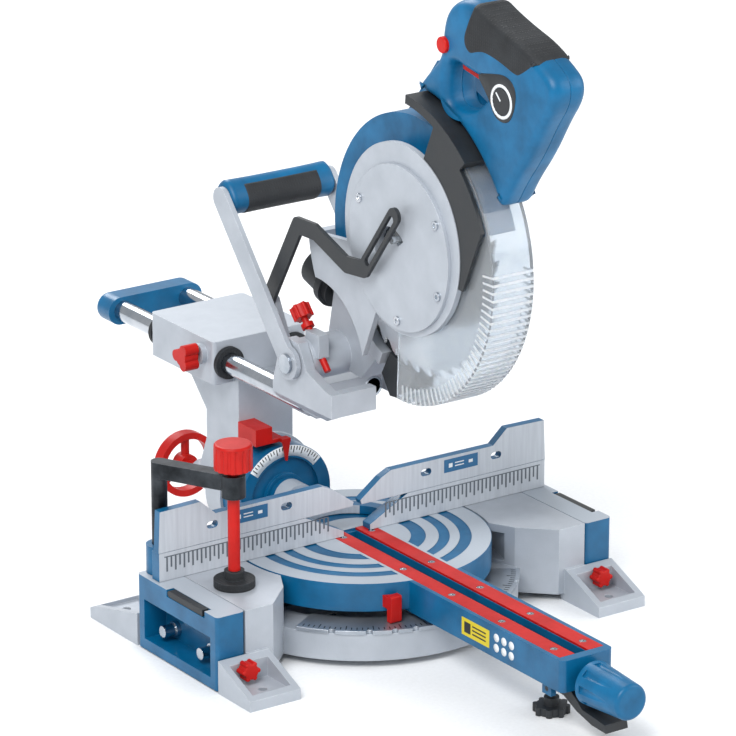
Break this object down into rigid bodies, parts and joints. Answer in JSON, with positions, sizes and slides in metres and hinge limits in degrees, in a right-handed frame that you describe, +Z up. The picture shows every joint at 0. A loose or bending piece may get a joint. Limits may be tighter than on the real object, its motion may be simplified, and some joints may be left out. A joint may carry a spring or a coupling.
{
  "type": "sliding compound mitre saw",
  "caption": "Sliding compound mitre saw with tilting head on twin rails, swivelling turntable, split fence, pull-out table ends and a work clamp.",
  "frame": {"origin": "on the floor, under the turntable's axis", "axes": "+X to the right along the fence, +Y away from the operator, +Z up"},
  "size_m": [0.4756, 0.853, 0.672],
  "materials": {
    "blue_paint": "satin",
    "blue_plastic": "fine-textured moulding",
    "grey_casting": "light grey powder coat on cast aluminium",
    "machined_grey": "machined",
    "steel": "ground and plated",
    "dark_steel": "oiled",
    "blade_steel": "ground",
    "black_plastic": "fine-textured moulding",
    "black_rubber": "soft grip",
    "red_plastic": "moulded",
    "clear_guard": "clear polycarbonate"
  },
  "bodies": {
    "base": {"base_casting": "grey_casting", "mitre_scale_plate": "machined_grey", "fixed_fence": "grey_casting"},
    "turntable": {"turntable": "blue_paint", "kerf_plates": "red_plastic", "kerf_screws": "steel", "mitre_pointer": "red_plastic", "bevel_bracket": "blue_paint", "bevel_hinge_bolt": "dark_steel"},
    "column": {"column": "grey_casting", "bevel_pointer": "red_plastic", "rail_seals": "black_rubber"},
    "carriage": {"rails": "steel", "rail_end_cap": "blue_paint", "yoke": "grey_casting", "pivot_pin": "steel"},
    "head": {"head_arm": "grey_casting", "guard_cover_plate": "grey_casting", "cover_screws": "steel", "inner_shroud": "blue_plastic", "front_cover": "black_plastic", "dust_duct": "black_plastic", "motor_housing": "blue_plastic", "handle_left": "blue_plastic", "handle_right": "blue_plastic", "handle_grip": "black_rubber", "carry_handle_frame": "grey_casting", "carry_handle_grip": "blue_plastic", "drive_belt": "black_rubber"},
    "depth_stop": {"depth_stop": "red_plastic"},
    "trigger": {"trigger": "red_plastic"},
    "lock_off_button": {"lock_off_button": "red_plastic"},
    "speed_dial": {"speed_dial": "black_plastic"},
    "laser_switch": {"laser_switch": "red_plastic"},
    "lamp_switch": {"lamp_switch": "red_plastic"},
    "blade": {"blade": "blade_steel", "arbor": "dark_steel"},
    "armature": {"motor_armature": "dark_steel"},
    "lower_guard": {"lower_guard": "clear_guard"},
    "guard_link": {"guard_link": "black_plastic"},
    "mitre_lock_knob": {"mitre_lock_knob": "blue_plastic"},
    "detent_lever": {"detent_lever": "black_plastic"},
    "support_foot": {"support_foot": "black_plastic"},
    "bevel_lock_wheel": {"bevel_lock_wheel": "red_plastic"},
    "slide_lock_knob": {"slide_lock_knob": "red_plastic"},
    "clamp_bracket": {"clamp_bracket": "dark_steel"},
    "clamp_pad": {"clamp_pad": "black_rubber"},
    "clamp_screw": {"clamp_screw": "red_plastic"},
    "left_fence": {"left_sliding_fence": "grey_casting"},
    "left_fence_lock": {"left_fence_lock": "black_plastic"},
    "left_extension": {"left_extension_frame": "blue_paint", "left_guide_rods": "steel"},
    "left_stop_bar": {"left_stop_bar": "black_plastic"},
    "left_extension_knob": {"left_extension_knob": "red_plastic"},
    "right_fence": {"right_sliding_fence": "grey_casting"},
    "right_fence_lock": {"right_fence_lock": "black_plastic"},
    "right_extension": {"right_extension_frame": "blue_paint", "right_guide_rods": "steel"},
    "right_stop_bar": {"right_stop_bar": "black_plastic"},
    "right_extension_knob": {"right_extension_knob": "red_plastic"}
  },
  "joints": [
    {"name": "mitre_swivel", "type": "hinge", "parent": "base", "child": "turntable", "pos_m": [0, 0, 0.049], "axis": [0, 0, -1], "range_deg": [-50, 50]},
    {"name": "bevel_tilt", "type": "hinge", "parent": "turntable", "child": "column", "pos_m": [0, 0.172, 0.078], "axis": [0, -1, 0], "range_deg": [-45, 30]},
    {"name": "rail_slide", "type": "slide", "parent": "column", "child": "carriage", "axis": [0, -1, 0], "range_m": [-0.1, 0.073]},
    {"name": "head_tilt", "type": "hinge", "parent": "carriage", "child": "head", "pos_m": [0, 0.031, 0.265], "axis": [1, 0, 0], "range_deg": [0, 66], "stiffness_Nm_per_rad": 10, "springref_deg": -91.67},
    {"name": "lower_guard_turn", "type": "hinge", "parent": "head", "child": "lower_guard", "pos_m": [0, -0.101, 0.4076], "axis": [-1, 0, 0], "range_deg": [0, 120.1]},
    {"name": "guard_link_swing", "type": "hinge", "parent": "carriage", "child": "guard_link", "pos_m": [-0.045, 0.097, 0.308], "axis": [1, 0, 0], "range_deg": [0, 48.1]},
    {"name": "blade_spin", "type": "hinge", "parent": "head", "child": "blade", "pos_m": [0, -0.101, 0.4076], "axis": [1, 0, 0], "continuous": true},
    {"name": "armature_spin", "type": "hinge", "parent": "head", "child": "armature", "pos_m": [0, -0.072, 0.492], "axis": [1, 0, 0], "continuous": true},
    {"name": "trigger_pull", "type": "slide", "parent": "head", "child": "trigger", "axis": [0, -0.1961, 0.9806], "range_m": [0, 0.003], "stiffness_N_per_m": 600, "springref_m": -0.002},
    {"name": "lock_off_press", "type": "slide", "parent": "head", "child": "lock_off_button", "axis": [1, 0, 0], "range_m": [0, 0.0025], "stiffness_N_per_m": 500, "springref_m": -0.001},
    {"name": "speed_dial_turn", "type": "hinge", "parent": "head", "child": "speed_dial", "pos_m": [-0.014, -0.25, 0.59], "axis": [1, 0, 0], "range_deg": [-135, 135]},
    {"name": "laser_switch_rock", "type": "hinge", "parent": "head", "child": "laser_switch", "pos_m": [0.038, -0.04, 0.5225], "axis": [1, 0, 0], "range_deg": [-6, 6]},
    {"name": "lamp_switch_rock", "type": "hinge", "parent": "head", "child": "lamp_switch", "pos_m": [0.038, -0.021, 0.4983], "axis": [1, 0, 0], "range_deg": [-6, 6]},
    {"name": "depth_stop_screw", "type": "hinge", "parent": "head", "child": "depth_stop", "pos_m": [-0.04, 0.043, 0.307], "axis": [0, -0.6834, -0.73], "range_deg": [-180, 180]},
    {"name": "mitre_lock_turn", "type": "hinge", "parent": "turntable", "child": "mitre_lock_knob", "pos_m": [0, -0.376, 0.053], "axis": [0, 1, 0], "range_deg": [-90, 90]},
    {"name": "detent_lever_press", "type": "hinge", "parent": "turntable", "child": "detent_lever", "pos_m": [0, -0.345, 0.039], "axis": [1, 0, 0], "range_deg": [0, 8], "stiffness_Nm_per_rad": 2, "springref_deg": -5.73},
    {"name": "support_foot_turn", "type": "hinge", "parent": "turntable", "child": "support_foot", "pos_m": [0, -0.32, 0.008], "axis": [0, 0, 1], "range_deg": [-180, 180]},
    {"name": "bevel_lock_turn", "type": "hinge", "parent": "column", "child": "bevel_lock_wheel", "pos_m": [-0.023, 0.29, 0.071], "axis": [0, 1, 0], "range_deg": [-90, 90]},
    {"name": "slide_lock_turn", "type": "hinge", "parent": "column", "child": "slide_lock_knob", "pos_m": [-0.08, 0.203, 0.225], "axis": [1, 0, 0], "range_deg": [-90, 90]},
    {"name": "clamp_swivel", "type": "hinge", "parent": "base", "child": "clamp_bracket", "pos_m": [-0.217, 0.032, 0.09], "axis": [0, 0, -1], "range_deg": [-20, 110]},
    {"name": "clamp_travel", "type": "slide", "parent": "clamp_bracket", "child": "clamp_pad", "axis": [0, 0, 1], "range_m": [0, 0.07]},
    {"name": "clamp_screw_turn", "type": "hinge", "parent": "clamp_pad", "child": "clamp_screw", "pos_m": [-0.178, -0.041, 0.15], "axis": [0, 0, 1], "range_deg": [0, 5045]},
    {"name": "left_fence_slide", "type": "slide", "parent": "base", "child": "left_fence", "axis": [-1, 0, 0], "range_m": [0, 0.04]},
    {"name": "left_fence_lock_turn", "type": "hinge", "parent": "left_fence", "child": "left_fence_lock", "pos_m": [-0.115, 0.03, 0.097], "axis": [0, -1, 0], "range_deg": [0, 90]},
    {"name": "left_extension_slide", "type": "slide", "parent": "base", "child": "left_extension", "axis": [-1, 0, 0], "range_m": [0, 0.1]},
    {"name": "left_stop_flip", "type": "hinge", "parent": "left_extension", "child": "left_stop_bar", "pos_m": [-0.234, -0.016, 0.0742], "axis": [1, 0, 0], "range_deg": [-90, 0]},
    {"name": "left_extension_lock_turn", "type": "hinge", "parent": "base", "child": "left_extension_knob", "pos_m": [-0.213, -0.108, 0.024], "axis": [0, 1, 0], "range_deg": [-180, 180]},
    {"name": "right_fence_slide", "type": "slide", "parent": "base", "child": "right_fence", "axis": [1, 0, 0], "range_m": [0, 0.04]},
    {"name": "right_fence_lock_turn", "type": "hinge", "parent": "right_fence", "child": "right_fence_lock", "pos_m": [0.115, 0.03, 0.097], "axis": [0, 1, 0], "range_deg": [0, 90]},
    {"name": "right_extension_slide", "type": "slide", "parent": "base", "child": "right_extension", "axis": [1, 0, 0], "range_m": [0, 0.1]},
    {"name": "right_stop_flip", "type": "hinge", "parent": "right_extension", "child": "right_stop_bar", "pos_m": [0.234, -0.016, 0.0742], "axis": [1, 0, 0], "range_deg": [-90, 0]},
    {"name": "right_extension_lock_turn", "type": "hinge", "parent": "base", "child": "right_extension_knob", "pos_m": [0.213, -0.108, 0.024], "axis": [0, 1, 0], "range_deg": [-180, 180]}
  ],
  "couplings": [
    {"joint": "lower_guard_turn", "follows": "head_tilt", "ratio": 1.8182},
    {"joint": "guard_link_swing", "follows": "head_tilt", "ratio": 0.72727},
    {"joint": "armature_spin", "follows": "blade_spin", "ratio": 1.7143},
    {"joint": "clamp_screw_turn", "follows": "clamp_travel", "rad_per_m": 1256}
  ]
}
